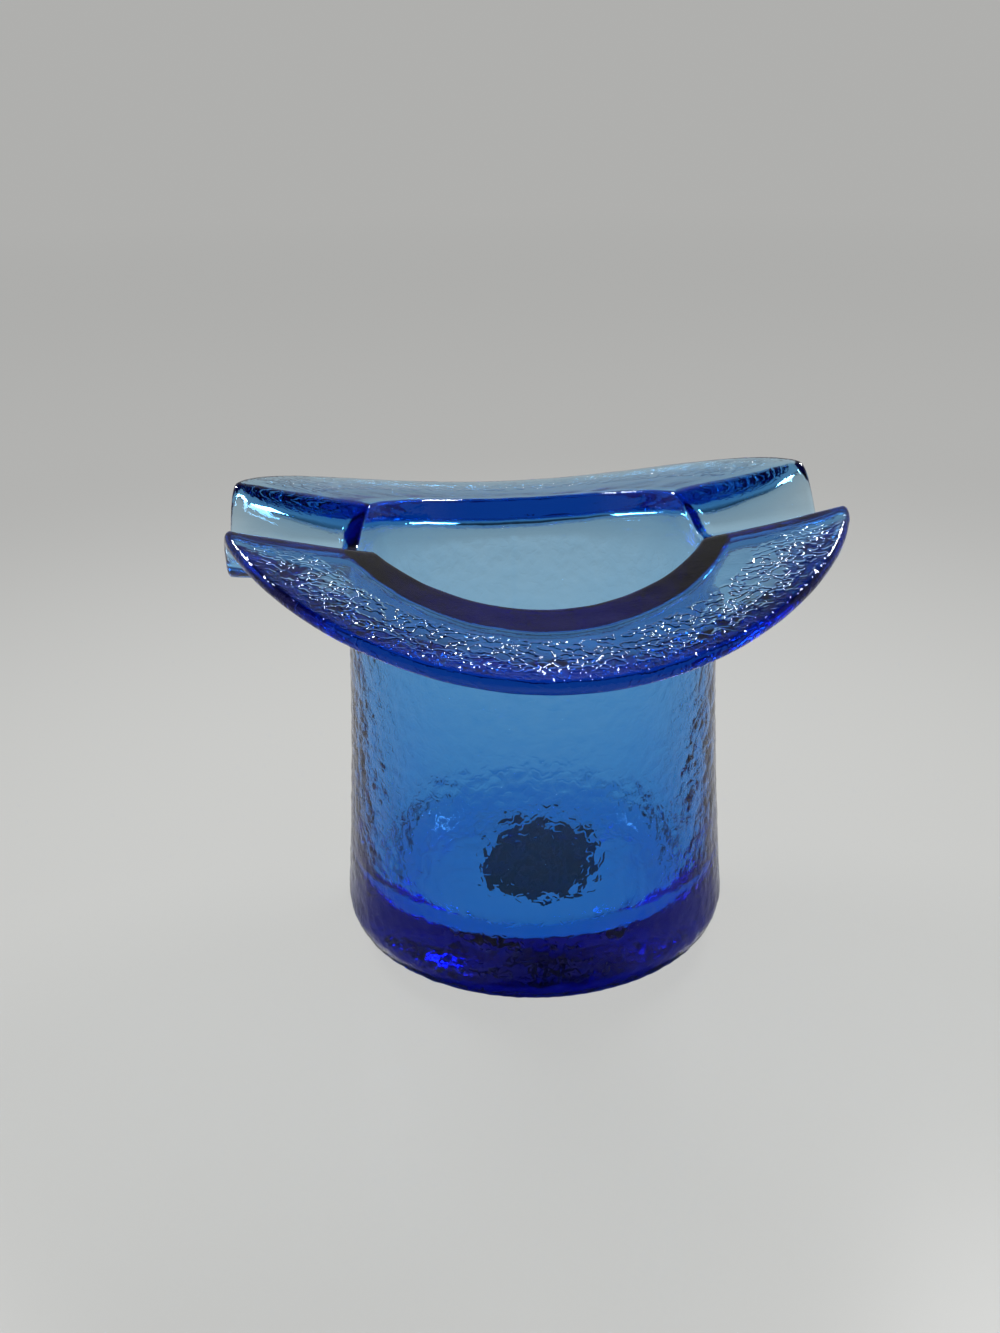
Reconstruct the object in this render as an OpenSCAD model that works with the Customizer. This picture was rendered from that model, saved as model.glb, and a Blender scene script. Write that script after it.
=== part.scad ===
// Pressed-glass top hat standing on its crown, with the brim uppermost.
// The brim curls up at both sides, and a cigarette rest crosses it at each side.
// Millimetres, +Z up, origin in the middle of the foot. X runs through both rests.

/* [Crown] */
// Outside diameter just above the rounded foot
foot_d = 60; // [54:0.5:66]
// Outside diameter where the brim springs from the crown
neck_d = 55.5; // [50:0.5:60]
// Height of the crown up to the brim
crown_h = 55; // [45:0.5:65]
// How far the side is hollowed inward at half height
waist_hollow = 0.4; // [0:0.1:1.2]
// Radius of the rounded foot edge
foot_edge_r = 6.5; // [4:0.5:8]
// Thickness of the side wall where the brim springs from it
wall_t = 3.2; // [2.4:0.1:4.5]
// Inside diameter where the wall runs into the inner floor: the bore narrows downward
bore_foot_d = 48; // [40:0.5:49]
// Thickness of the glass under the inner floor, from the ground up
floor_t = 8; // [5:0.5:12]
// Radius between the inner wall and the inner floor
floor_fillet_r = 7; // [3:0.5:10]
// Width of the flat ring that the hat stands on, between the foot edge and the hollow
foot_ring_w = 1; // [1:0.5:5]
// Depth of the domed hollow under the foot
hollow_depth = 1; // [0.8:0.1:2]

/* [Brim] */
// Diameter of the brim seen from above
brim_d = 92.4; // [84:0.2:102]
// Diameter of the mouth at the lip
mouth_d = 52; // [50:0.5:56]
// Height of the lip over the top of the crown, at the front and the back
lip_h = 7.2; // [6:0.1:12]
// How far the front and the back of the brim fall from the lip to the edge
brim_fall = 2.6; // [0:0.1:4]
// How far the sides of the brim curl up at the edge
brim_curl = 12; // [6:0.1:15]
// How late the curl sets in on the way out: 1 is evenly, more is later
curl_bow = 1.4; // [1:0.1:2.5]
// Thickness of the brim where it springs from the crown
brim_root_t = 4.2; // [3.2:0.1:5.5]
// Thickness of the brim at its rounded edge
brim_edge_t = 1.7; // [1.2:0.1:3]
// How late the brim thins on the way out: 1 is evenly, more is later
thin_bow = 3.5; // [1:0.5:6]
// Radius of the rounded lip round the mouth
lip_r = 0.7; // [0.4:0.1:1.2]
// How far the blend under the brim reaches out from the crown
blend_run = 2.5; // [1.5:0.5:6]

/* [Cigarette rests] */
// Width of a rest between the brim's two cut edges
rest_w = 23.2; // [19:0.2:26]
// Width of the rest's flat floor
rest_floor_w = 9; // [7:0.5:12]
// How far the rest's floor lies under the front lip at the mouth
rest_drop = 0.2; // [-1:0.1:1]
// How far the rest's floor rises from the mouth to the edge
rest_rise = 1.6; // [0:0.1:3]
// How far the outer end of a rest stands back from the brim's edge
rest_setback = 1.2; // [0:0.1:2]
// Share of the sloping side that is rounded at its top and at its bottom
rest_round = 0.18; // [0.05:0.01:0.3]
// Thickness of the glass under the rest's floor
rest_floor_t = 2.4; // [1.8:0.1:3.5]
// Width of the flat underneath a rest
rest_keel_w = 10.6; // [8:0.2:13]
// How far the swelling underneath reaches past the rest at each side
rest_swell = 3; // [1.5:0.1:4]

/* [Label] */
// Length of the paper label under the foot
label_l = 25; // [20:0.5:28]
// Width of the paper label
label_w = 19; // [12:0.5:20]
// Thickness of the paper
label_t = 0.15; // [0.1:0.01:0.2]
// Turn of the label's long side from the line through the rests, in degrees
label_turn = 75; // [0:5:90]
// Gap between the label's far end and the edge of the hollow
label_gap = 2.6; // [2.4:0.1:5]

/* [Hidden] */
$fn = 96;
glass_blue = "royalblue";
label_grey = "dimgray";

foot_r = foot_d / 2;
neck_r = neck_d / 2;
bore_r = neck_r - wall_t;
bore_foot_r = bore_foot_d / 2;
hollow_r = foot_r - foot_edge_r - foot_ring_w;
brim_r = brim_d / 2;
mouth_r = mouth_d / 2;
lip_z = crown_h + lip_h;
rest_half = rest_w / 2;
rest_floor_half = rest_floor_w / 2;
rest_keel_half = rest_keel_w / 2;
rest_under_half = rest_half + rest_swell;
// Slope of the crown's side where it leaves the rounded foot edge
side_lean = atan((foot_r - neck_r + 4 * waist_hollow) / (crown_h - foot_edge_r));

// Points on a circular arc in the plane, from angle a to angle b in n steps
function arc(centre, r, a, b, n) =
    [for (k = [0:n]) let (t = a + (b - a) * k / n) centre + r * [cos(t), sin(t)]];

// Crown: a revolved cup with a thick floor

arc_steps = 12;
side_steps = 10;
foot_edge_centre = [foot_r - foot_edge_r, foot_edge_r];
side_start = foot_edge_centre + foot_edge_r * [cos(side_lean), sin(side_lean)];

// Outside radius of the crown's side at height z
function side_r(z) =
    let (t = (z - side_start.y) / (crown_h - side_start.y))
    side_start.x + (neck_r - side_start.x) * t - 4 * waist_hollow * t * (1 - t);

// Half section of the domed hollow from the middle out, or of a face that lies lower by drop
function dome(drop) =
    [
        for (k = [0:arc_steps])
            let (t = k / arc_steps) [hollow_r * t, hollow_depth * (1 - t * t) - drop]
    ];

// Half section of the crown, radius against height
function crown_section() =
    let (
        bore_lean = atan((bore_r - bore_foot_r) / (crown_h - floor_t - floor_fillet_r)),
        fillet_centre = [bore_foot_r - floor_fillet_r, floor_t + floor_fillet_r],
        side = [
            for (k = [1:side_steps])
                let (z = side_start.y + (crown_h - side_start.y) * k / side_steps) [side_r(z), z]
        ]
    )
    concat(
        dome(0),
        arc(foot_edge_centre, foot_edge_r, -90, side_lean, arc_steps),
        side,
        [[bore_r, crown_h]],
        arc(fillet_centre, floor_fillet_r, -bore_lean, -90, arc_steps),
        [[0, floor_t]]
    );

module crown() {
    color(glass_blue, 0.6)
        rotate_extrude() polygon(crown_section());
}

// Brim: one section lofted round the mouth, bent by the curl and let down at the rests

// The band of meridians that run straight along a rest reaches a little past its swelling
band_margin = 1.2;
band_half = rest_under_half + band_margin;
band_steps = 15;
quarter_steps = 13;
neck_steps = 3;
lip_steps = 4;
flange_steps = 9;
edge_steps = 6;
blend_steps = 6;

// A straight ramp from 0 to 1 with both corners rounded over e
function ramp(t, e) =
    t <= -e ? 0
    : t < e ? pow(t + e, 2) / (4 * e)
    : t <= 1 - e ? t
    : t < 1 + e ? 1 - pow(1 + e - t, 2) / (4 * e)
    : 1;

// Share of the way from the mouth to the brim's edge
function outward(r) = max(0, (r - mouth_r) / (brim_r - mouth_r));

// Height of the upper face before the rests are let in, at radius r and angle a.
// The brim falls evenly at the front and the back and curls up towards the sides.
function brim_z(r, a) =
    lip_z - brim_fall * outward(r) + brim_curl * pow(r / brim_r, curl_bow) * pow(cos(a), 2);

// Thickness of the brim at radius r
function brim_t(r) =
    brim_root_t + (brim_edge_t - brim_root_t) * pow(max(0, (r - neck_r) / (brim_r - neck_r)), thin_bow);

// Height of a rest's floor
function rest_floor_z(r) = lip_z - rest_drop + rest_rise * outward(r);

// Share of the full brim height at a distance y from the middle of a rest, on the upper face
function rest_share(y) =
    ramp((abs(y) - rest_floor_half) / (rest_half - rest_floor_half), rest_round);

// The same on the lower face: the swelling leaves its flat steeply, with half the rounding,
// and eases into the brim
function swell_share(y) =
    sin(90 * ramp((abs(y) - rest_keel_half) / (rest_under_half - rest_keel_half), rest_round / 2));

// Height of the upper face with the rests let in
function top_z(r, a) =
    rest_floor_z(r) + (brim_z(r, a) - rest_floor_z(r)) * rest_share(r * sin(a));

// Height of the lower face with the swellings
function under_z(r, a) =
    let (keel_z = rest_floor_z(r) - rest_floor_t)
    keel_z + (brim_z(r, a) - brim_t(r) - keel_z) * swell_share(r * sin(a));

// How far a point is drawn in at a rest's outer end
function set_back(r, a) =
    let (t = (abs(r * sin(a)) - rest_floor_half) / (rest_under_half - rest_floor_half))
    rest_setback * outward(r) * (1 - ramp(t, rest_round));

// Angle, at radius r, of the meridian with parameter u: 0 along a rest, 1 at the band's edge, 2 at the front
function meridian(u, r) =
    let (band = asin(band_half / r))
    u <= 1 ? asin(u * band_half / r) : band + (u - 1) * (90 - band);

// One closed section of the brim along a meridian of one quarter turn
function brim_section(u, quarter) =
    let (
        flip = quarter % 2,
        turned = function(r) let (a = meridian(u, r)) 90 * (quarter + flip) + (flip == 1 ? -a : a),
        place = function(r, z)
            let (a = turned(r), drawn_in = r - set_back(r, a)) [drawn_in * cos(a), drawn_in * sin(a), z],
        top = function(r) top_z(r, turned(r)),
        under = function(r) under_z(r, turned(r)),
        lip_in = mouth_r + lip_r,
        edge_r = brim_edge_t / 2,
        edge_in = brim_r - edge_r,
        edge_mid = (top(edge_in) + under(edge_in)) / 2,
        edge_half = (top(edge_in) - under(edge_in)) / 2,
        blend_r = neck_r + blend_run
    )
    concat(
        [
            for (k = [0:neck_steps])
                let (t = k / (neck_steps + 1))
                place(bore_r + (mouth_r - bore_r) * t * t, crown_h + (top(lip_in) - lip_r - crown_h) * t)
        ],
        [for (p = arc([lip_in, top(lip_in) - lip_r], lip_r, 180, 90, lip_steps)) place(p.x, p.y)],
        [
            for (k = [1:flange_steps - 1])
                let (r = lip_in + (edge_in - lip_in) * k / flange_steps) place(r, top(r))
        ],
        [
            for (k = [0:edge_steps])
                let (t = 90 - 180 * k / edge_steps)
                place(edge_in + edge_r * cos(t), edge_mid + edge_half * sin(t))
        ],
        [
            for (k = [1:flange_steps - 1])
                let (r = edge_in + (blend_r - edge_in) * k / flange_steps) place(r, under(r))
        ],
        [
            for (k = [0:blend_steps])
                let (t = 90 * k / blend_steps)
                place(neck_r + blend_run * (1 - sin(t)), crown_h + (under(blend_r) - crown_h) * cos(t))
        ]
    );

meridians = concat(
    [for (k = [0:band_steps - 1]) k / band_steps],
    [for (k = [0:quarter_steps]) 1 + k / quarter_steps]
);

// All sections once round: every second quarter runs backwards so that the loop closes
brim_sections = [
    for (quarter = [0:3])
        for (k = [0:len(meridians) - 2])
            brim_section(meridians[quarter % 2 == 0 ? k : len(meridians) - 1 - k], quarter)
];

// A closed ring of faces through a loop of closed sections
module loft_ring(sections) {
    n = len(sections);
    m = len(sections[0]);
    points = [for (s = sections) each s];
    faces = [
        for (j = [0:n - 1])
            for (i = [0:m - 1])
                let (
                    a = j * m + i,
                    b = j * m + (i + 1) % m,
                    c = ((j + 1) % n) * m + (i + 1) % m,
                    d = ((j + 1) % n) * m + i
                )
                each [[a, b, c], [a, c, d]]
    ];
    polyhedron(points, faces);
}

module brim() {
    color(glass_blue, 0.6)
        loft_ring(brim_sections);
}

// Label: a bare paper strip with round ends, stuck to the dome of the hollow under the foot

// Outline of the label, pushed back along its own length
module label_outline() {
    end_r = label_w / 2;
    end_x = label_l / 2 - end_r;
    rotate(label_turn)
        translate([hollow_r - label_gap - label_l / 2, 0]) {
            square([2 * end_x, label_w], center = true);
            for (x = [-end_x, end_x])
                translate([x, 0]) circle(end_r);
        }
}

module base_label() {
    upper = dome(0);
    color(label_grey)
        intersection() {
            linear_extrude(2 * hollow_depth) label_outline();
            rotate_extrude() polygon(concat(dome(label_t), [for (k = [arc_steps:-1:0]) upper[k]]));
        }
}

crown();
brim();
base_label();
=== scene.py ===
# %% [markdown]
# # A pressed-glass top hat
#
# The object is a small blue hat of pressed glass that stands on its crown, with the brim uppermost.
# A plunger pressed its smooth inside. The mould gave its outside a stipple, and the ring that closed
# the mould gave the top of the brim a stippled band. The lesson builds the hat as one closed skin of
# glass, so that light bends and is tinted as in the real piece, and then sets it on a pale table.

# %% Load the frame
import math
from collections import namedtuple

import bmesh
import bpy
from mathutils import Matrix, Vector, noise


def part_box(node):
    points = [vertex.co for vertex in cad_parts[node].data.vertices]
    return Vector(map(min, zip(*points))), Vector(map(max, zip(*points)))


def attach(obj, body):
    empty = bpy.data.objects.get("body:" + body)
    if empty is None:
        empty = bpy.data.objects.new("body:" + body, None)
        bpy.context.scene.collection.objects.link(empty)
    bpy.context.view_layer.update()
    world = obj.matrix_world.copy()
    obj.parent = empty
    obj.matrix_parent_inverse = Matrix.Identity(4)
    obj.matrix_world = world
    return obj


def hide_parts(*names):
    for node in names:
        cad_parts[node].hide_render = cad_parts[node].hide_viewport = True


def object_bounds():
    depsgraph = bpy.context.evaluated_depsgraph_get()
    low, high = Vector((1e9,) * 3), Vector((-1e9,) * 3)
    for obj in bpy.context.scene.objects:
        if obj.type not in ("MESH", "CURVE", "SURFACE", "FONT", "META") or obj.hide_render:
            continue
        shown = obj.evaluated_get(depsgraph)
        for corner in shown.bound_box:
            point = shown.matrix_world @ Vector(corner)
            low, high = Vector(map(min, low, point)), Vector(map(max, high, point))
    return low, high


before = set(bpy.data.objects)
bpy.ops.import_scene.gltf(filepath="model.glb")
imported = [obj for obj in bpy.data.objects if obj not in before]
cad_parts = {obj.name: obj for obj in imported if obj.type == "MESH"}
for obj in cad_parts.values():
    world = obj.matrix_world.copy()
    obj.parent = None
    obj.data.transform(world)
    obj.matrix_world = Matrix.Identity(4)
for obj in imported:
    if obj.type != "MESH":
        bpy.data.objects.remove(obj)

cad_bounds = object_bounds()
print("solids to dress:", sorted(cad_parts))

# %% [markdown]
# ## Sizes
#
# The solids give the outer sizes: the crown's box holds the foot and the joint under the brim, and
# the brim's box holds its reach. What a box can't tell, such as the thickness of the glass, is
# written here in millimetres, as a maker would write it on a drawing of the mould.

# %% Sizes from the frame
MM = 0.001
crown_low, crown_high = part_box("crown")
brim_low, brim_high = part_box("brim")

FOOT_R = (crown_high[0] - crown_low[0]) / 2 / MM
CROWN_H = crown_high[2] / MM
BRIM_R = (brim_high[1] - brim_low[1]) / 2 / MM
print(f"foot radius {FOOT_R:.2f} mm, crown {CROWN_H:.2f} mm high, brim radius {BRIM_R:.2f} mm")

# %% Sizes of the crown
NECK_R = 27.75
WAIST_HOLLOW = 0.4
FOOT_EDGE_R = 6.5
FOOT_RING_W = 1.0
HOLLOW_DEPTH = 1.0
WALL_T = 3.2
BORE_FOOT_R = 24.0
FLOOR_T = 8.0
FLOOR_FILLET_R = 7.0
BORE_R = NECK_R - WALL_T
HOLLOW_R = FOOT_R - FOOT_EDGE_R - FOOT_RING_W
print(f"bore radius {BORE_R:.2f} mm at the neck, hollow radius {HOLLOW_R:.2f} mm under the foot")

# %% Sizes of the brim and of its rests
MOUTH_R = 26.0
LIP_RISE = 7.2
LIP_R = 0.7
BRIM_FALL = 2.6
BRIM_CURL = 12.0
CURL_BOW = 1.4
BRIM_ROOT_T = 4.2
BRIM_EDGE_T = 1.7
THIN_BOW = 3.5
BLEND_RUN = 2.5
REST_HALF = 11.6
REST_FLOOR_HALF = 4.5
REST_DROP = 0.2
REST_RISE = 1.6
REST_SETBACK = 1.2
REST_ROUND = 0.18
REST_FLOOR_T = 2.4
REST_KEEL_HALF = 5.3
REST_SWELL = 3.0

LIP_Z = CROWN_H + LIP_RISE
LIP_IN = MOUTH_R + LIP_R
EDGE_R = BRIM_EDGE_T / 2
EDGE_IN = BRIM_R - EDGE_R
BLEND_R = NECK_R + BLEND_RUN
REST_UNDER_HALF = REST_HALF + REST_SWELL
print(f"lip {LIP_Z:.1f} mm up, each rest {2 * REST_HALF:.1f} mm wide at its top")

# %% [markdown]
# ## The form of the brim
#
# Seen from the front the brim is a saddle: it falls a little towards the viewer and curls up at the
# sides. At each side a rest is let in, a trough with sloping sides, and the glass swells under it.
# Both faces are heights over the plan, so a few short formulas give the form, and later they simply
# lift the vertices of a turned shape. Sculpting it by hand would never keep the two rests alike.

# %% Heights of the brim
def ramp(t, e):
    """A straight ramp from 0 to 1 with both corners rounded over e."""
    if t <= -e:
        return 0.0
    if t < e:
        return (t + e) ** 2 / (4 * e)
    if t <= 1 - e:
        return t
    if t < 1 + e:
        return 1 - (1 + e - t) ** 2 / (4 * e)
    return 1.0


def outward(r):
    """Share of the way from the mouth to the brim's edge."""
    return max(0.0, (r - MOUTH_R) / (BRIM_R - MOUTH_R))


def brim_z(r, a):
    """Height of the upper face before the rests are let in."""
    return LIP_Z - BRIM_FALL * outward(r) + BRIM_CURL * (r / BRIM_R) ** CURL_BOW * math.cos(a) ** 2


def brim_t(r):
    """Thickness of the brim, which thins late on the way out."""
    out = max(0.0, (r - NECK_R) / (BRIM_R - NECK_R))
    return BRIM_ROOT_T + (BRIM_EDGE_T - BRIM_ROOT_T) * out ** THIN_BOW


def rest_floor_z(r):
    """Height of a rest's floor."""
    return LIP_Z - REST_DROP + REST_RISE * outward(r)


def top_z(r, a):
    """Height of the upper face with the rests let in."""
    share = ramp((abs(r * math.sin(a)) - REST_FLOOR_HALF) / (REST_HALF - REST_FLOOR_HALF), REST_ROUND)
    floor = rest_floor_z(r)
    return floor + (brim_z(r, a) - floor) * share


def under_z(r, a):
    """Height of the lower face, where a rest's swelling eases into the brim."""
    t = (abs(r * math.sin(a)) - REST_KEEL_HALF) / (REST_UNDER_HALF - REST_KEEL_HALF)
    keel = rest_floor_z(r) - REST_FLOOR_T
    return keel + (brim_z(r, a) - brim_t(r) - keel) * math.sin(math.pi / 2 * ramp(t, REST_ROUND / 2))


def set_back(r, a):
    """How far a point is drawn in at a rest's outer end."""
    t = (abs(r * math.sin(a)) - REST_FLOOR_HALF) / (REST_UNDER_HALF - REST_FLOOR_HALF)
    return REST_SETBACK * outward(r) * (1 - ramp(t, REST_ROUND))


FRONT = math.pi / 2
BESIDE = math.asin(REST_HALF / EDGE_IN)
print(f"brim edge: {top_z(EDGE_IN, FRONT):.1f} mm in front, {top_z(EDGE_IN, BESIDE):.1f} mm beside a rest")

# %% [markdown]
# ## The turned skin
#
# A glass hat begins as a turned shape, so the mesh does too. One half section runs from the middle
# of the hollow under the foot, up the outside, round the brim and back down the inside to the middle
# of the floor. Each of its points notes how much of its height follows the brim's upper face and how
# much its lower face, how strongly it is stippled and how rough the mould left it. Stippled stretches
# get short steps and smooth ones long steps, which keeps the mesh light.

# %% Helpers for the section
FINE_STEP = 0.5
COARSE_STEP = 1.3
BORE_STEP = 2.5
ARC_LEAST_STEPS = 3

# top and under are shares of the brim's upper and lower heights, both taken at the radius "at".
SectionPoint = namedtuple("SectionPoint", "r z top under at stippled relief", defaults=(0.0, 0.0))


def run(start, end, step):
    """Points from start, left out, to end along a straight line."""
    n = max(1, round(math.dist(start, end) / step))
    return [
        (start[0] + (end[0] - start[0]) * k / n, start[1] + (end[1] - start[1]) * k / n)
        for k in range(1, n + 1)
    ]


def radii(start, end, step):
    """Radii from start, left out, to end."""
    return [r for r, _ in run((start, 0), (end, 0), step)]


def arc(centre, radius, a, b, step):
    """Points on an arc from angle a, left out, to angle b, in degrees."""
    n = max(ARC_LEAST_STEPS, round(radius * math.radians(abs(b - a)) / step))
    turns = [math.radians(a + (b - a) * k / n) for k in range(1, n + 1)]
    return [(centre[0] + radius * math.cos(t), centre[1] + radius * math.sin(t)) for t in turns]


def turned(points, stippled=0.0, relief=0.0):
    """Section points that stay where the lathe would put them."""
    return [SectionPoint(r, z, 0.0, 0.0, r, stippled, relief) for r, z in points]


print("a section point holds", ", ".join(SectionPoint._fields))

# %% Outside of the crown
CROWN_STIPPLE = 0.15
CROWN_RELIEF = 0.1

side_lean = math.atan((FOOT_R - NECK_R + 4 * WAIST_HOLLOW) / (CROWN_H - FOOT_EDGE_R))
side_start = (
    FOOT_R - FOOT_EDGE_R + FOOT_EDGE_R * math.cos(side_lean),
    FOOT_EDGE_R + FOOT_EDGE_R * math.sin(side_lean),
)


def side_r(z):
    """Outside radius of the crown's hollowed side."""
    t = (z - side_start[1]) / (CROWN_H - side_start[1])
    return side_start[0] + (NECK_R - side_start[0]) * t - 4 * WAIST_HOLLOW * t * (1 - t)


def hollow_z(r):
    """Height of the domed hollow under the foot."""
    return HOLLOW_DEPTH * (1 - (r / HOLLOW_R) ** 2)


def foot_and_side():
    """From the middle of the hollow, over the standing ring and up the outside of the crown."""
    roof = [(r, hollow_z(r)) for r in radii(0.0, HOLLOW_R, COARSE_STEP)]
    ring = [(FOOT_R - FOOT_EDGE_R, 0.0)]
    corner = (FOOT_R - FOOT_EDGE_R, FOOT_EDGE_R)
    edge = arc(corner, FOOT_EDGE_R, -90, math.degrees(side_lean), FINE_STEP)
    side = [(side_r(z), z) for _, z in run(edge[-1], (NECK_R, CROWN_H), FINE_STEP)]
    foot = turned([(0.0, HOLLOW_DEPTH)] + roof + ring)
    return foot + turned(edge + side, CROWN_STIPPLE, CROWN_RELIEF)


outside = foot_and_side()
print("outside of the crown:", len(outside), "points")

# %% Brim in section
BLEND_STEPS = 8
EDGE_STEPS = 10
NECK_STEPS = 6
BAND_IN_R = 35.5
BAND_OUT_R = 43.8
BAND_STIPPLE = 1.0
EDGE_STIPPLE = 0.4
POLISH = 0.05


def brim_underside():
    """The blend under the brim, its lower face and its rounded edge."""
    points = []
    for k in range(1, BLEND_STEPS + 1):
        t = math.pi / 2 * k / BLEND_STEPS
        r = NECK_R + BLEND_RUN * (1 - math.cos(t))
        points.append(SectionPoint(r, CROWN_H * (1 - math.sin(t)), 0.0, math.sin(t), BLEND_R))
    points += [SectionPoint(r, 0.0, 0.0, 1.0, r) for r in radii(BLEND_R, EDGE_IN, COARSE_STEP)]
    for k in range(1, EDGE_STEPS + 1):
        t = math.pi * (k / EDGE_STEPS - 0.5)
        share = (1 + math.sin(t)) / 2
        r = EDGE_IN + EDGE_R * math.cos(t)
        points.append(SectionPoint(r, 0.0, share, 1 - share, EDGE_IN, EDGE_STIPPLE))
    return points


def brim_top():
    """The upper face from its edge over the stippled band to the rounded lip."""
    points = []
    start = EDGE_IN
    for end, stippled in ((BAND_OUT_R, EDGE_STIPPLE), (BAND_IN_R, BAND_STIPPLE), (LIP_IN, POLISH)):
        points += [SectionPoint(r, 0.0, 1.0, 0.0, r, stippled) for r in radii(start, end, FINE_STEP)]
        start = end
    for r, z in arc((LIP_IN, -LIP_R), LIP_R, 90, 180, FINE_STEP / 2):
        points.append(SectionPoint(r, z, 1.0, 0.0, LIP_IN, POLISH))
    return points


def neck():
    """From the lip down to the top of the bore."""
    points = []
    for k in range(NECK_STEPS - 1, -1, -1):
        t = k / NECK_STEPS
        r = BORE_R + (MOUTH_R - BORE_R) * t * t
        points.append(SectionPoint(r, CROWN_H * (1 - t) - LIP_R * t, t, 0.0, LIP_IN, POLISH))
    return points


brim_part = brim_underside() + brim_top() + neck()
print("brim:", len(brim_part), "points")

# %% Inside of the crown
def bore_and_floor():
    """Down the bore, round the fillet and in to the middle of the floor."""
    centre = (BORE_FOOT_R - FLOOR_FILLET_R, FLOOR_T + FLOOR_FILLET_R)
    lean = math.atan((BORE_R - BORE_FOOT_R) / (CROWN_H - centre[1]))
    start = (centre[0] + FLOOR_FILLET_R * math.cos(lean), centre[1] - FLOOR_FILLET_R * math.sin(lean))
    wall = run((BORE_R, CROWN_H), start, BORE_STEP)
    fillet = arc(centre, FLOOR_FILLET_R, -math.degrees(lean), -90, COARSE_STEP / 2)
    return turned(wall + fillet + run(fillet[-1], (0.0, FLOOR_T), BORE_STEP))


section = outside + brim_part + bore_and_floor()
print("half section:", len(section), "points")

# %% [markdown]
# ## Turning it and bending the brim
#
# Spin turns the half section once round, and every copy keeps the notes of its point. The even spokes
# that spin leaves are then moved: beside the rests they run straight along the trough, so that its
# edges stay crisp, and everywhere else they spread evenly. Last, each vertex is lifted to its height.

# %% Turn the section
SPOKES = 380
TROUGH_MARGIN = 1.2
TROUGH_HALF = REST_UNDER_HALF + TROUGH_MARGIN
TROUGH_SHARE = 0.3
SPOKE_LEAST_R = 20.0
POLE_R = 0.01


def spoke_angle(a, r):
    """The angle at radius r to which a vertex spun to angle a belongs."""
    quarter, share = divmod(a / (math.pi / 2), 1.0)
    odd = int(quarter) % 2
    share = 1 - share if odd else share
    reach = TROUGH_HALF / max(r, SPOKE_LEAST_R)
    if share <= TROUGH_SHARE:
        new = math.asin(share / TROUGH_SHARE * reach)
    else:
        trough = math.asin(reach)
        new = trough + (share - TROUGH_SHARE) / (1 - TROUGH_SHARE) * (math.pi / 2 - trough)
    return math.pi / 2 * (quarter + odd) + (-new if odd else new)


bm = bmesh.new()
note = {name: bm.verts.layers.float.new(name) for name in SectionPoint._fields[1:]}
half = []
for point in section:
    v = bm.verts.new((point.r, 0.0, point.z + (point.top + point.under) * LIP_Z))
    for name, layer in note.items():
        v[layer] = getattr(point, name)
    half.append(v)
edges = [bm.edges.new(pair) for pair in zip(half, half[1:])]
bmesh.ops.spin(
    bm, geom=half + edges, cent=(0, 0, 0), axis=(0, 0, 1), angle=math.tau, steps=SPOKES, use_merge=True
)
poles = [v for v in bm.verts if math.hypot(v.co.x, v.co.y) < POLE_R]
bmesh.ops.remove_doubles(bm, verts=poles, dist=POLE_R)
print("turned skin:", len(bm.verts), "vertices,", len(bm.faces), "faces")

# %% Lift the brim
for v in bm.verts:
    r = math.hypot(v.co.x, v.co.y)
    a = spoke_angle(math.atan2(v.co.y, v.co.x) % math.tau, r)
    at, top, under = v[note["at"]], v[note["top"]], v[note["under"]]
    z = v[note["z"]]
    if top > 0.0:
        z += top * top_z(at, a)
    if under > 0.0:
        z += under * under_z(at, a)
    r -= set_back(r, a)
    v.co = (r * math.cos(a), r * math.sin(a), z)
bmesh.ops.recalc_face_normals(bm, faces=bm.faces)
print("highest point:", round(max(v.co.z for v in bm.verts), 2), "mm")

# %% [markdown]
# ## Stipple, ripples and mould seams
#
# The stippled mould left a grain all over the outside of the crown, and its two halves left a fine
# ridge down the front and the back. Even the smooth faces are not quite true, because glass ripples
# as it sets, and that is what breaks the long reflections. All three are real relief, so they move
# the mesh along its normals, and the box of the solids keeps it in bounds. The ridges of the brim's
# band are too fine for this mesh and are left to the material. Beside the smooth rests they fade out.

# %% Relief
STIPPLE_SIZE = 1.2
RIPPLE_SIZE = 3.5
RIPPLE_DEPTH = 0.07
SEAM_HEIGHT = 0.16
SEAM_HALF = 0.8
CALM_Z = 3.0
REST_FADE = 3.0
REST_FADE_ROUND = 0.5

bm.normal_update()
moves = []
for v in bm.verts:
    height = noise.noise(v.co / RIPPLE_SIZE) * RIPPLE_DEPTH * min(1.0, v.co.z / CALM_Z)
    relief, stippled = v[note["relief"]], v[note["stippled"]]
    if relief > 0.0:
        height += noise.noise(v.co / STIPPLE_SIZE) * relief
        if v.co.z > CALM_Z:
            height += SEAM_HEIGHT * max(0.0, 1 - abs(v.co.x) / SEAM_HALF)
    elif stippled > 0.0:
        beside_rest = ramp((abs(v.co.y) - REST_UNDER_HALF) / REST_FADE, REST_FADE_ROUND)
        stippled = v[note["stippled"]] = POLISH + (stippled - POLISH) * beside_rest
        height *= 1 - stippled
    moves.append(v.normal * height)
for v, move in zip(bm.verts, moves):
    v.co += move
print(f"largest move: {max(move.length for move in moves):.2f} mm")

# %% The glass skin
bmesh.ops.scale(bm, vec=(MM, MM, MM), verts=bm.verts)
for v in bm.verts:
    v.co = [min(max(c, low), high) for c, low, high in zip(v.co, *cad_bounds)]
for name in ("z", "top", "under", "at", "relief"):
    bm.verts.layers.float.remove(bm.verts.layers.float[name])

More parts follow.
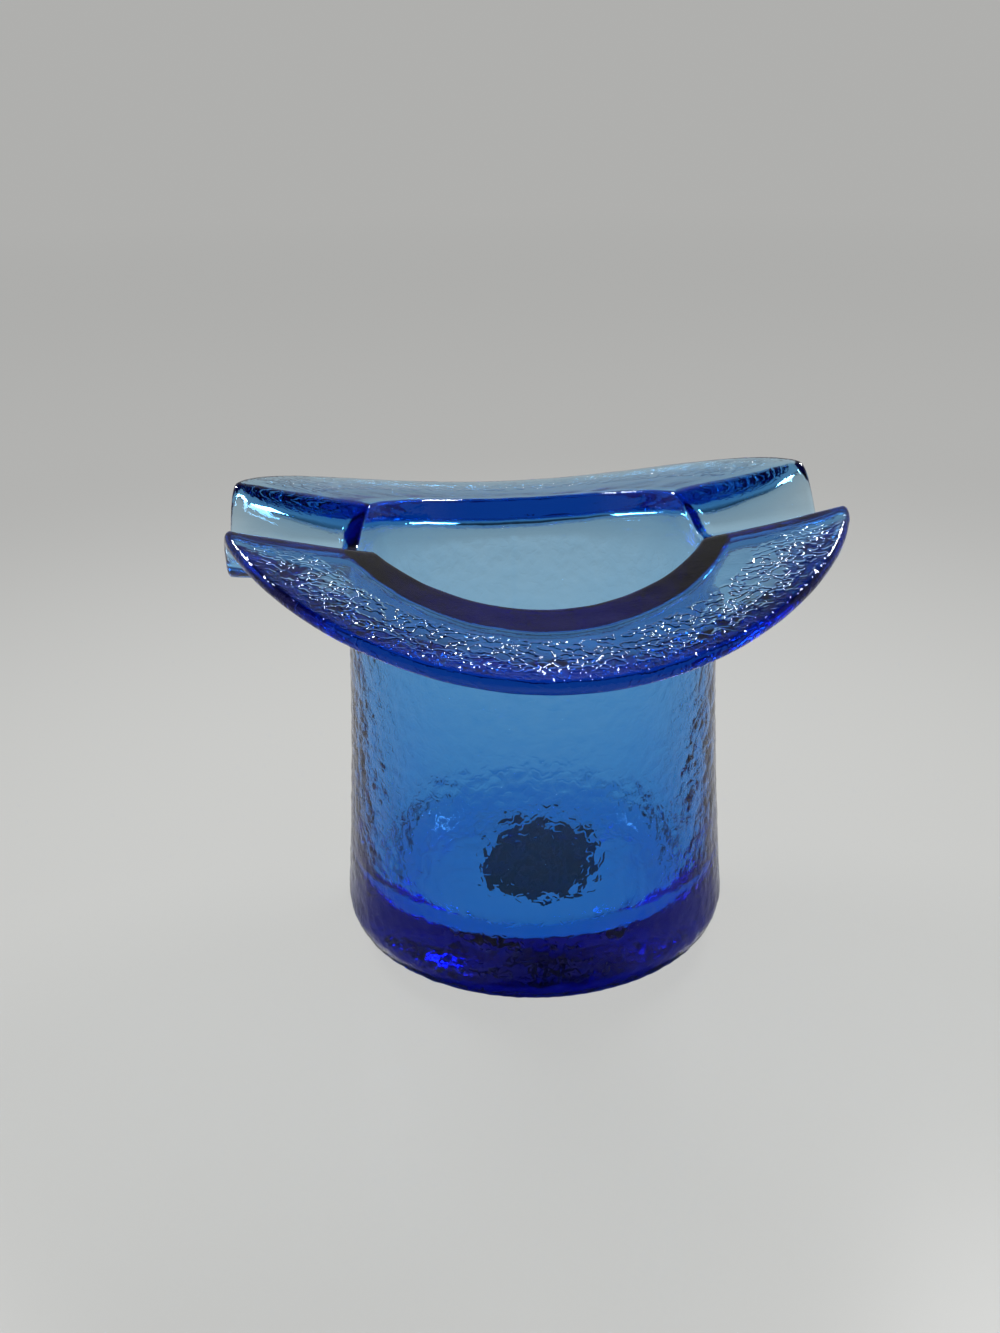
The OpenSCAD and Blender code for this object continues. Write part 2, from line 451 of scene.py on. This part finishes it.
glass_mesh = bpy.data.meshes.new("glass_hat")
bm.to_mesh(glass_mesh)
bm.free()
glass_mesh.polygons.foreach_set("use_smooth", [True] * len(glass_mesh.polygons))
glass_hat = bpy.data.objects.new("glass_hat", glass_mesh)
bpy.context.scene.collection.objects.link(glass_hat)
print("glass hat:", len(glass_mesh.polygons), "faces")

# %% [markdown]
# ## Blue glass
#
# Coloured glass has no colour on its surface: light is tinted on its way through, so thin walls
# are pale and thick edges are dark. A clear glass surface with an absorbing volume gives that by
# itself, and a painted blue never would. The stipple is a net of narrow ridges between flat cells:
# a noise is cut at its middle level, the cut lines are raised, and the attribute that the section
# carried round the hat says how strongly.

# %% Node helper
def add_node(tree, kind, inputs=None, **settings):
    """A new node with its settings and its unlinked inputs."""
    node = tree.nodes.new(kind)
    for name, value in settings.items():
        setattr(node, name, value)
    for name, value in (inputs or {}).items():
        node.inputs[name].default_value = value
    return node


print("helper:", add_node.__doc__)

# %% Stipple of the glass
CELLS_PER_M = 600.0
MIDDLE_LEVEL = 0.5
RIDGE_SHARE = 0.1
RIDGE_HEIGHT = 0.00011


def stipple_bump(tree):
    """Narrow ridges between flat cells, as strong as the attribute says."""
    place = add_node(tree, "ShaderNodeTexCoord")
    cells = add_node(tree, "ShaderNodeTexNoise", {"Scale": CELLS_PER_M, "Detail": 1.0})
    level = add_node(tree, "ShaderNodeMath", {1: MIDDLE_LEVEL}, operation="SUBTRACT")
    off_level = add_node(tree, "ShaderNodeMath", operation="ABSOLUTE")
    ridge = add_node(tree, "ShaderNodeMapRange", {"From Max": RIDGE_SHARE, "To Min": 1.0, "To Max": 0.0})
    ridge.interpolation_type = "SMOOTHSTEP"
    mask = add_node(tree, "ShaderNodeAttribute", attribute_name="stippled")
    height = add_node(tree, "ShaderNodeMath", operation="MULTIPLY")
    bump = add_node(tree, "ShaderNodeBump", {"Distance": RIDGE_HEIGHT, "Strength": 1.0})
    tree.links.new(place.outputs["Object"], cells.inputs["Vector"])
    tree.links.new(cells.outputs["Fac"], level.inputs[0])
    tree.links.new(level.outputs[0], off_level.inputs[0])
    tree.links.new(off_level.outputs[0], ridge.inputs["Value"])
    tree.links.new(ridge.outputs["Result"], height.inputs[0])
    tree.links.new(mask.outputs["Fac"], height.inputs[1])
    tree.links.new(height.outputs[0], bump.inputs["Height"])
    return bump


print(f"stipple: {1 / CELLS_PER_M / MM:.1f} mm cells, ridges of {RIDGE_HEIGHT / MM:.2f} mm")

# %% Glass material
GLASS_IOR = 1.5
ABSORB_COLOUR = (0.06, 0.605, 0.915, 1)
ABSORB_DENSITY = 300.0
SHEEN = (0.8, 0.8, 0.8, 1)


def blue_glass():
    """Clear glass that tints light on its way through, stippled where the mould was."""
    material = bpy.data.materials.new("blue_glass")
    material.use_nodes = True
    tree = material.node_tree
    shader = tree.nodes["Principled BSDF"]
    shader.inputs["Base Color"].default_value = (1, 1, 1, 1)
    shader.inputs["Roughness"].default_value = 0.0
    shader.inputs["IOR"].default_value = GLASS_IOR
    shader.inputs["Specular Tint"].default_value = SHEEN
    shader.inputs["Transmission Weight"].default_value = 1.0
    tree.links.new(stipple_bump(tree).outputs["Normal"], shader.inputs["Normal"])
    tint = {"Color": ABSORB_COLOUR, "Density": ABSORB_DENSITY}
    volume = add_node(tree, "ShaderNodeVolumeAbsorption", tint)
    tree.links.new(volume.outputs["Volume"], tree.nodes["Material Output"].inputs["Volume"])
    return material


glass_hat.data.materials.append(blue_glass())
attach(glass_hat, "root")
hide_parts("crown", "brim")
print("dressed", glass_hat.name)

# %% [markdown]
# ## The label
#
# A dark patch shows through the floor, and it reads as a paper label under the foot. It stays bare.
# Its solid has the right shape already, so it only gets a finish: matt paper with faint fibres.
# Its near-black colour is painted shade for the dark patch; the paper's own colour is not known.

# %% Label material
FIBRES_PER_M = 900.0
FIBRE_HEIGHT = 0.00005
# Near-black paper tones: painted shade for the dark patch seen through the floor.
LABEL_SHADE_DARK = (0.02, 0.02, 0.025, 1)
LABEL_SHADE_PALE = (0.05, 0.047, 0.055, 1)
PAPER_ROUGHNESS = 0.85


def label_paper():
    """Matt paper with faint fibres, coloured near-black as painted shade."""
    material = bpy.data.materials.new("dark_label")
    material.use_nodes = True
    tree = material.node_tree
    shader = tree.nodes["Principled BSDF"]
    shader.inputs["Roughness"].default_value = PAPER_ROUGHNESS
    place = add_node(tree, "ShaderNodeTexCoord")
    fibres = add_node(tree, "ShaderNodeTexNoise", {"Scale": FIBRES_PER_M, "Detail": 4.0})
    tint = add_node(tree, "ShaderNodeMix", data_type="RGBA")
    tint.inputs["A"].default_value = LABEL_SHADE_DARK
    tint.inputs["B"].default_value = LABEL_SHADE_PALE
    bump = add_node(tree, "ShaderNodeBump", {"Distance": FIBRE_HEIGHT, "Strength": 0.5})
    tree.links.new(place.outputs["Object"], fibres.inputs["Vector"])
    tree.links.new(fibres.outputs["Fac"], tint.inputs["Factor"])
    tree.links.new(tint.outputs["Result"], shader.inputs["Base Color"])
    tree.links.new(fibres.outputs["Fac"], bump.inputs["Height"])
    tree.links.new(bump.outputs["Normal"], shader.inputs["Normal"])
    return material


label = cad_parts["base_label"]
label.data.materials.clear()
label.data.materials.append(label_paper())
print("dressed", label.name)

# %% [markdown]
# ## Table
#
# The hat stands on a plain pale table. Glass shows whatever lies behind it, so the table has to look
# the same to rays that come through the glass as to the camera. A share of what the camera sees is
# the table's own light, which keeps the shadow faint, and the rest comes from the lamps, which keeps
# it there. Far off all of it is its own light, so that the table runs into the wall without a line.

# %% The table's own light
TABLE_NEAR = (0.62, 0.625, 0.61, 1)
TABLE_FAR = (0.43, 0.43, 0.42, 1)
FADE_FROM = 0.05
FADE_TO = 0.30
LOST_AT = 0.9
OWN_LIGHT = 0.85


def own_light(tree, far):
    """Light of its own that is a little darker far off."""
    fade = add_node(tree, "ShaderNodeMapRange", {"From Min": FADE_FROM, "From Max": FADE_TO})
    fade.interpolation_type = "SMOOTHSTEP"
    tone = add_node(tree, "ShaderNodeMix", data_type="RGBA")
    tone.inputs["A"].default_value = TABLE_NEAR
    tone.inputs["B"].default_value = TABLE_FAR
    glow = add_node(tree, "ShaderNodeEmission")
    tree.links.new(far.outputs["Value"], fade.inputs["Value"])
    tree.links.new(fade.outputs["Result"], tone.inputs["Factor"])
    tree.links.new(tone.outputs["Result"], glow.inputs["Color"])
    return glow


def own_share(tree, far):
    """How much of the light is its own: most for the camera, all through glass, else none."""
    path = add_node(tree, "ShaderNodeLightPath")
    own = add_node(tree, "ShaderNodeMapRange", {"From Min": FADE_TO, "From Max": LOST_AT})
    own.inputs["To Min"].default_value = OWN_LIGHT
    by_camera = add_node(tree, "ShaderNodeMath", operation="MULTIPLY")
    share = add_node(tree, "ShaderNodeMath", operation="MAXIMUM")
    tree.links.new(far.outputs["Value"], own.inputs["Value"])
    tree.links.new(own.outputs["Result"], by_camera.inputs[0])
    tree.links.new(path.outputs["Is Camera Ray"], by_camera.inputs[1])
    tree.links.new(by_camera.outputs[0], share.inputs[0])
    tree.links.new(path.outputs["Is Transmission Ray"], share.inputs[1])
    return share


print(f"table: {OWN_LIGHT:.0%} of its light is its own near the hat")

# %% Table
TABLE_DROP = 0.0002
TABLE_HALF = 3.0
TABLE_LIT = (0.32, 0.32, 0.315, 1)
TABLE_ROUGHNESS = 0.25
TABLE_SHEEN = 0.3


def pale_table():
    """A pale top that mixes its own light with that of the lamps."""
    material = bpy.data.materials.new("pale_table")
    material.use_nodes = True
    tree = material.node_tree
    shader = tree.nodes["Principled BSDF"]
    shader.inputs["Base Color"].default_value = TABLE_LIT
    shader.inputs["Roughness"].default_value = TABLE_ROUGHNESS
    shader.inputs["Specular IOR Level"].default_value = TABLE_SHEEN
    place = add_node(tree, "ShaderNodeTexCoord")
    far = add_node(tree, "ShaderNodeVectorMath", operation="LENGTH")
    mix = add_node(tree, "ShaderNodeMixShader")
    tree.links.new(place.outputs["Object"], far.inputs[0])
    tree.links.new(own_share(tree, far).outputs[0], mix.inputs["Fac"])
    tree.links.new(shader.outputs["BSDF"], mix.inputs[1])
    tree.links.new(own_light(tree, far).outputs["Emission"], mix.inputs[2])
    tree.links.new(mix.outputs["Shader"], tree.nodes["Material Output"].inputs["Surface"])
    return material


bm = bmesh.new()
bmesh.ops.create_grid(bm, x_segments=1, y_segments=1, size=TABLE_HALF)
bmesh.ops.translate(bm, vec=(0, 0, -TABLE_DROP), verts=bm.verts)
table_mesh = bpy.data.meshes.new("table")
bm.to_mesh(table_mesh)
bm.free()
table = bpy.data.objects.new("table", table_mesh)
bpy.context.scene.collection.objects.link(table)
table.data.materials.append(pale_table())
print("table", 2 * TABLE_HALF, "m wide")

# %% [markdown]
# ## Light
#
# The dark bands in the glass come from dark surroundings, and the white glints in the stipple are
# reflections of lamps. So the world is a light tent, pale round the horizon, dark overhead and dim in
# front, and what the glass mirrors of it is dimmed once more. Two softboxes hang behind the hat, one
# to the left and one to the right. Edges that run across the picture don't mirror them, but the
# ridges of the stipple do.

# %% The light tent
HORIZON = (0.43, 0.43, 0.42, 1)
WALL_TOP = 0.6
ROOF = (0.05, 0.05, 0.05, 1)
ROOF_FROM = 0.85
FRONT_SHARE = 0.2
FRONT_AT = -0.75
FRONT_ENDS = -0.1

world = bpy.data.worlds.new("light_tent")
world.use_nodes = True
bpy.context.scene.world = world
tree = world.node_tree
background = tree.nodes["Background"]
direction = add_node(tree, "ShaderNodeTexCoord")
axes = add_node(tree, "ShaderNodeSeparateXYZ")
rise = add_node(tree, "ShaderNodeValToRGB")
rise.color_ramp.elements[0].color = HORIZON
rise.color_ramp.elements[1].color = ROOF
rise.color_ramp.elements[1].position = ROOF_FROM
rise.color_ramp.elements.new(WALL_TOP).color = HORIZON
front = add_node(
    tree,
    "ShaderNodeMapRange",
    {"From Min": FRONT_AT, "From Max": FRONT_ENDS, "To Min": FRONT_SHARE, "To Max": 1.0},
    interpolation_type="SMOOTHSTEP",
)
shade = add_node(tree, "ShaderNodeMix", {"Factor": 1.0}, data_type="RGBA", blend_type="MULTIPLY")
tree.links.new(direction.outputs["Generated"], axes.inputs[0])
tree.links.new(axes.outputs["Z"], rise.inputs["Fac"])
tree.links.new(axes.outputs["Y"], front.inputs["Value"])
tree.links.new(rise.outputs["Color"], shade.inputs["A"])
tree.links.new(shade.outputs["Result"], background.inputs["Color"])
print("world:", world.name)

# %% What the camera and the glass see of it
MIRROR_SHARE = 0.6

path = add_node(tree, "ShaderNodeLightPath")
seen = add_node(tree, "ShaderNodeMath", operation="MAXIMUM")
tree.links.new(front.outputs["Result"], seen.inputs[0])
tree.links.new(path.outputs["Is Camera Ray"], seen.inputs[1])
tree.links.new(seen.outputs[0], shade.inputs["B"])
mirrored = add_node(tree, "ShaderNodeMath", operation="SUBTRACT", use_clamp=True)
strength = add_node(tree, "ShaderNodeMix", {"A": 1.0, "B": MIRROR_SHARE}, data_type="FLOAT")
tree.links.new(path.outputs["Is Glossy Ray"], mirrored.inputs[0])
tree.links.new(path.outputs["Is Transmission Ray"], mirrored.inputs[1])
tree.links.new(mirrored.outputs[0], strength.inputs["Factor"])
tree.links.new(strength.outputs["Result"], background.inputs["Strength"])
print(f"mirrored at {MIRROR_SHARE:.0%}, front at {FRONT_SHARE:.0%}")

# %% Softboxes
LAMP_X = 0.30
LAMP_Y = 0.34
LAMP_Z = 0.50
LAMP_AIM = (0.0, 0.0, 0.04)
LAMP_L = 0.20
LAMP_D = 0.12
LAMP_W = 4.0

for side, sign in (("left", -1), ("right", 1)):
    lamp_data = bpy.data.lights.new(f"softbox_{side}", "AREA")
    lamp_data.shape = "RECTANGLE"
    lamp_data.size = LAMP_L
    lamp_data.size_y = LAMP_D
    lamp_data.energy = LAMP_W
    lamp = bpy.data.objects.new(f"softbox_{side}", lamp_data)
    bpy.context.scene.collection.objects.link(lamp)
    lamp.location = (sign * LAMP_X, LAMP_Y, LAMP_Z)
    lamp.rotation_euler = (Vector(LAMP_AIM) - lamp.location).to_track_quat("-Z", "Y").to_euler()
    print(lamp.name, "at", tuple(round(c, 3) for c in lamp.location))

# %% [markdown]
# ## Camera
#
# The camera repeats the photographed view. Its place came from fitting the outlines of foot, crown,
# mouth and brim: where it stands, how far it is tilted, and its focal length in pixels of the photo.

# %% Camera
FOCAL_PX = 1668.3
FRAME_W_PX = 1000.0
SENSOR_W = 36.0
CAMERA_TURN = math.radians(6.337)
CAMERA_PAN = math.radians(1.209)
CAMERA_TILT = math.radians(22.228)
CAMERA_ROLL = math.radians(-0.855)
CAMERA_REACH = 0.23730
CAMERA_HEIGHT = 0.14007
CLIP_START = 0.01

heading = CAMERA_TURN - CAMERA_PAN
ahead = Vector((math.sin(heading), math.cos(heading), 0))
right = Vector((math.cos(heading), -math.sin(heading), 0))
forward = ahead * math.cos(CAMERA_TILT) - Vector((0, 0, math.sin(CAMERA_TILT)))
up = ahead * math.sin(CAMERA_TILT) + Vector((0, 0, math.cos(CAMERA_TILT)))
camera_x = right * math.cos(CAMERA_ROLL) + up * math.sin(CAMERA_ROLL)
camera_y = -right * math.sin(CAMERA_ROLL) + up * math.cos(CAMERA_ROLL)
position = Vector(
    (-CAMERA_REACH * math.sin(CAMERA_TURN), -CAMERA_REACH * math.cos(CAMERA_TURN), CAMERA_HEIGHT)
)

camera_data = bpy.data.cameras.new("camera")
camera_data.sensor_fit = "HORIZONTAL"
camera_data.sensor_width = SENSOR_W
camera_data.lens = FOCAL_PX / FRAME_W_PX * SENSOR_W
camera_data.clip_start = CLIP_START
camera = bpy.data.objects.new("camera", camera_data)
bpy.context.scene.collection.objects.link(camera)
turn = Matrix((camera_x, camera_y, -forward)).transposed()
camera.matrix_world = Matrix.Translation(position) @ turn.to_4x4()
bpy.context.scene.camera = camera
print(f"camera at {tuple(round(c, 4) for c in position)}, lens {camera_data.lens:.1f} mm")

# %% [markdown]
# ## Light paths and view
#
# On its way through the hat light crosses many faces: both faces of the brim, both walls, the floor
# and the hollow under it. The paths have to be long enough for that, or thick glass turns black. The
# view is the plain one, so that the picture shows the light as it is.

# %% Light paths and view
THROUGH_BOUNCES = 32
MIRROR_BOUNCES = 16

scene = bpy.context.scene
scene.view_settings.view_transform = "Standard"
scene.cycles.max_bounces = THROUGH_BOUNCES
scene.cycles.transmission_bounces = THROUGH_BOUNCES
scene.cycles.glossy_bounces = MIRROR_BOUNCES
print("light paths:", THROUGH_BOUNCES, "bounces")

# %% [markdown]
